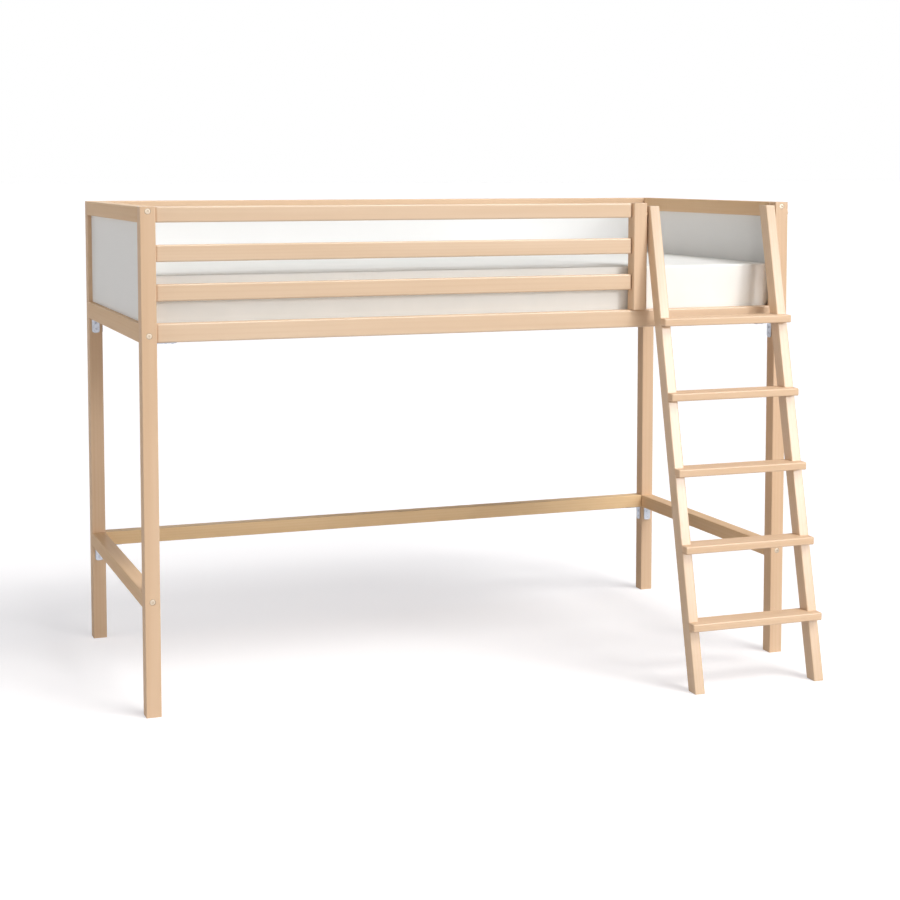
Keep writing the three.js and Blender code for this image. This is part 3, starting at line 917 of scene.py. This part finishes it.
def brackets():
    master = bracket_with_screws()
    for node in sorted(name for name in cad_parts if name.startswith("bracket_")):
        kind = next(k for k in BRACKET_TURNS if node.startswith("bracket_" + k))
        turn, axis, end = BRACKET_TURNS[kind]
        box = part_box(node)
        corner = (box[0] + box[1]) / 2
        corner[AXIS_NUMBER[axis]] = box[end][AXIS_NUMBER[axis]]
        corner.z = box[1].z
        piece = copy_of(master, node + "_plate", Matrix.Translation(corner) @ Matrix.Rotation(turn, 4, "Z"))
        show(piece, "zinc_steel", [ZINC], node)
    bpy.data.objects.remove(master, do_unlink=True)


# Mattress
def inside_outline(point, centre, half, radius):
    """How far a point lies inside the rounded rectangle of the mattress, seen from above."""
    from_corner_x = abs(point.x - centre.x) - (half.x - radius)
    from_corner_y = abs(point.y - centre.y) - (half.y - radius)
    if from_corner_x > 0 and from_corner_y > 0:
        return radius - math.hypot(from_corner_x, from_corner_y)
    return radius - max(from_corner_x, from_corner_y)


def mattress_block(low, high):
    """A block in a fine grid, with round corners and a small round along its top and bottom edges."""
    piece = block("mattress_cover", low, high)
    centre = (low + high) / 2
    half = (high - low) / 2
    for axis, number in AXIS_NUMBER.items():
        cuts = round(2 * half[number] / MATTRESS_GRID[number]) - 1
        edit(piece, "EDGE", along(axis), bpy.ops.mesh.subdivide, number_cuts=cuts)

    def upright_corner(edge):
        return all(
            abs(abs(v.co[number] - centre[number]) - half[number]) < SAME_PLACE
            for v in edge.verts
            for number in (0, 1)
        )

    def outline(edge):
        level = [abs(face.normal.z) > LEVEL_FACE for face in edge.link_faces]
        return any(level) and not all(level)

    bevel(piece, upright_corner, MATTRESS_CORNER_ROUND, MATTRESS_CORNER_STEPS)
    bevel(piece, outline, MATTRESS_EDGE_ROUND, MATTRESS_EDGE_STEPS)
    return piece


def even_step(value):
    """Rises smoothly from 0 to 1 as the value does."""
    share = min(max(value, 0), 1)
    return share * share * (3 - 2 * share)


def swell_over_end_rails(piece, high):
    """Moves both ends of the mattress outwards where they stand higher than the end rails."""
    rail_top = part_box("end_lower_rail_right")[1].z
    for vertex in piece.data.vertices:
        place = vertex.co
        near_end = even_step(1 - (high.x - abs(place.x)) / END_BULGE_REACH)
        above_rail = even_step((place.z - rail_top) / END_BULGE_RISE)
        place.x += math.copysign(END_BULGE * near_end * above_rail, place.x)


def puff_up(piece, low, high):
    """Lets the cover swell under the foam's pressure between its held edges, each point within a limit."""
    centre = (low + high) / 2
    half = (high - low) / 2
    held = piece.vertex_groups.new(name="held")
    for vertex in piece.data.vertices:
        depth = max(inside_outline(vertex.co, centre, half, MATTRESS_CORNER_ROUND), 0)
        from_edge = min(math.hypot(vertex.co.z - z, depth) for z in (low.z, high.z))
        if from_edge < EDGE_HOLD or vertex.co.z < low.z + SAME_PLACE:
            held.add([vertex.index], 1, "REPLACE")
    start = [v.co.copy() for v in piece.data.vertices]
    cloth = piece.modifiers.new("foam pressure", "CLOTH")
    cloth.settings.use_pressure = True
    cloth.settings.uniform_pressure_force = FOAM_PRESSURE
    cloth.settings.effector_weights.gravity = 0
    cloth.settings.vertex_group_mass = "held"
    cloth.settings.quality = CLOTH_QUALITY
    cloth.point_cache.frame_start = 1
    cloth.point_cache.frame_end = SIMULATION_FRAMES
    for step in range(1, SIMULATION_FRAMES + 1):
        bpy.context.scene.frame_set(step)
    swollen = piece.evaluated_get(bpy.context.evaluated_depsgraph_get()).data
    moved = [v.co.copy() for v in swollen.vertices]
    piece.modifiers.remove(cloth)
    bpy.context.scene.frame_set(1)
    limits = (END_PUFF_LIMIT, SIDE_PUFF_LIMIT, TOP_PUFF_LIMIT)
    for vertex, before, after in zip(piece.data.vertices, start, moved):
        step = after - before
        vertex.co = before + Vector([limit * math.tanh(part / limit) for part, limit in zip(step, limits)])


def settle(piece, low, high):
    """Adds the slow unevenness of a mattress that has been slept on."""
    for vertex in piece.data.vertices:
        share = min(max((vertex.co.z - low.z) / (high.z - low.z), 0), 1)
        large = noise.noise(vertex.co / UNDULATION_LENGTH)
        small = noise.noise(vertex.co * RIPPLES / UNDULATION_LENGTH)
        vertex.co += vertex.normal * (large + RIPPLE * small) * UNDULATION * share


def cover_box():
    """The box of the cover before it swells."""
    low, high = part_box("mattress")
    low = low + Vector((-MATTRESS_END_REACH, MATTRESS_SIDE_DRAW, 0))
    high = high + Vector((MATTRESS_END_REACH, -MATTRESS_SIDE_DRAW, -TOP_PUFF_LIMIT))
    return low, high


def mattress():
    inner_low, inner_high = cover_box()
    piece = mattress_block(inner_low, inner_high)
    swell_over_end_rails(piece, inner_high)
    puff_up(piece, inner_low, inner_high)
    settle(piece, inner_low, inner_high)
    apply_modifier(piece, "SUBSURF", levels=1, render_levels=1)
    clear_selection()
    piece.select_set(True)
    bpy.ops.object.shade_smooth()
    show(piece, "mattress_fabric", [COTTON], "mattress")


def panels():
    for name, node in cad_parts.items():
        if "panel" in name:
            node.data.materials.clear()
            node.data.materials.append(WHITE_BOARD)


# Camera, light and floor
CAMERA_PLACE = (-1.97518, -5.37637, 1.57474)
CAMERA_YAW = 0.35313  # to the right of +Y
CAMERA_PITCH = 0.07813  # downwards
CAMERA_LENS = 71.81
CAMERA_SHIFT = -0.155


def camera():
    data = bpy.data.cameras.new("camera")
    data.lens = CAMERA_LENS
    data.sensor_width = 36
    data.shift_y = CAMERA_SHIFT
    seen = bpy.data.objects.new("camera", data)
    seen.location = CAMERA_PLACE
    seen.rotation_euler = (math.pi / 2 - CAMERA_PITCH, 0, -CAMERA_YAW)
    bpy.context.scene.collection.objects.link(seen)
    bpy.context.scene.camera = seen


# The near softbox stands close to the ladder and makes that end of the bed a little brighter than the other
SOFTBOX_POWER = 28
SOFTBOX_SIZE = 1.2
SOFTBOX_PLACE = (2.05, -3.4, 1.7)
SOFTBOX_AIM = (0.2, 0, 0.9)

WHITE = "FFFFFF"
WARM_WHITE = "FFFBF6"
# Distant lamps: name, strength, angular size, azimuth to the right of straight in front of the bed, elevation
# and tint, with the angles in degrees
DISTANT_LAMPS = (
    ("high_right_softbox", 1.38, 28, 45, 54, WHITE),
    ("high_key", 0.42, 10, 15, 60, WHITE),
    ("upper_key", 0.24, 12, 31, 48, WHITE),
    ("middle_key", 0.27, 10, 15, 35, WHITE),
    ("low_key", 0.55, 14, 30, 14.5, WHITE),
    ("low_front_softbox", 0.2, 24, 0, 11, WHITE),
    ("front_softbox", 0.15, 50, 0, 55, WHITE),
    ("level_left_fill", 0.42, 8, -76, 4.5, WARM_WHITE),
    ("low_left_fill", 0.12, 40, -72, 20, WARM_WHITE),
    ("high_left_fill", 0.38, 50, -72, 45, WARM_WHITE),
    ("overhead_softbox", 0.2, 40, 180, 80, WHITE),
    ("rear_fill", 0.35, 30, 180, 12, WHITE),
)

FLOOR_SIZE = 400
FLOOR_DROP = 0.2 * MM  # below the feet
FLOOR_GLOW = 0.56


def distant_lamp(name, strength, size, azimuth, elevation, tint):
    data = bpy.data.lights.new(name, "SUN")
    data.energy = strength
    data.angle = math.radians(size)
    data.color = colour(tint)[:3]
    lamp = bpy.data.objects.new(name, data)
    across, up = math.radians(azimuth), math.radians(elevation)
    towards = Vector((math.sin(across) * math.cos(up), -math.cos(across) * math.cos(up), math.sin(up)))
    lamp.rotation_euler = towards.to_track_quat("Z", "Y").to_euler()
    bpy.context.scene.collection.objects.link(lamp)


def near_softbox():
    data = bpy.data.lights.new("near_softbox", "AREA")
    data.energy = SOFTBOX_POWER
    data.size = SOFTBOX_SIZE
    lamp = bpy.data.objects.new("near_softbox", data)
    lamp.location = SOFTBOX_PLACE
    away = Vector(SOFTBOX_PLACE) - Vector(SOFTBOX_AIM)
    lamp.rotation_euler = away.to_track_quat("Z", "Y").to_euler()
    lamp.visible_camera = False
    bpy.context.scene.collection.objects.link(lamp)


def seen_or_mirrored(tree):
    """1 for what the camera sees, also in a gloss or through glass, and 0 for light that falls on the bed."""
    rays = add_node(tree, "ShaderNodeLightPath").outputs
    inputs = {0: rays["Is Glossy Ray"], 1: rays["Is Transmission Ray"]}
    mirrored = add_node(tree, "ShaderNodeMath", inputs, operation="MAXIMUM").outputs[0]
    inputs = {0: rays["Is Camera Ray"], 1: mirrored}
    return add_node(tree, "ShaderNodeMath", inputs, operation="MAXIMUM").outputs[0]


def studio():
    near_softbox()
    for lamp in DISTANT_LAMPS:
        distant_lamp(*lamp)
    world = bpy.data.worlds.new("studio")
    bpy.context.scene.world = world
    world.use_nodes = True
    tree = world.node_tree
    tree.nodes.clear()
    inputs = {"Color": colour(WHITE), "Strength": seen_or_mirrored(tree)}
    shade = add_node(tree, "ShaderNodeBackground", inputs)
    add_node(tree, "ShaderNodeOutputWorld", {"Surface": shade.outputs["Background"]})


def floor():
    """A pale, matt floor that catches the shadows. Its glow lifts it to white and doesn't light the bed."""
    clear_selection()
    bpy.ops.mesh.primitive_plane_add(size=FLOOR_SIZE, location=(0, 0, -FLOOR_DROP))
    plane = made("studio_floor")
    material, tree = new_material("white_floor")
    matt = add_node(tree, "ShaderNodeBsdfDiffuse", {"Color": colour("CBC9C7")})
    inputs = {0: seen_or_mirrored(tree), 1: FLOOR_GLOW}
    lift = add_node(tree, "ShaderNodeMath", inputs, operation="MULTIPLY").outputs[0]
    glow = add_node(tree, "ShaderNodeEmission", {"Color": colour("FAFAFF"), "Strength": lift})
    both = add_node(tree, "ShaderNodeAddShader", {0: matt.outputs[0], 1: glow.outputs[0]})
    add_node(tree, "ShaderNodeOutputMaterial", {"Surface": both.outputs[0]})
    plane.data.materials.append(material)


bpy.context.scene.view_settings.view_transform = "Standard"
camera()
studio()
floor()
corner_posts()
end_rails()
long_rails()
slats_and_ledgers()
ladder()
brackets()
panels()
mattress()
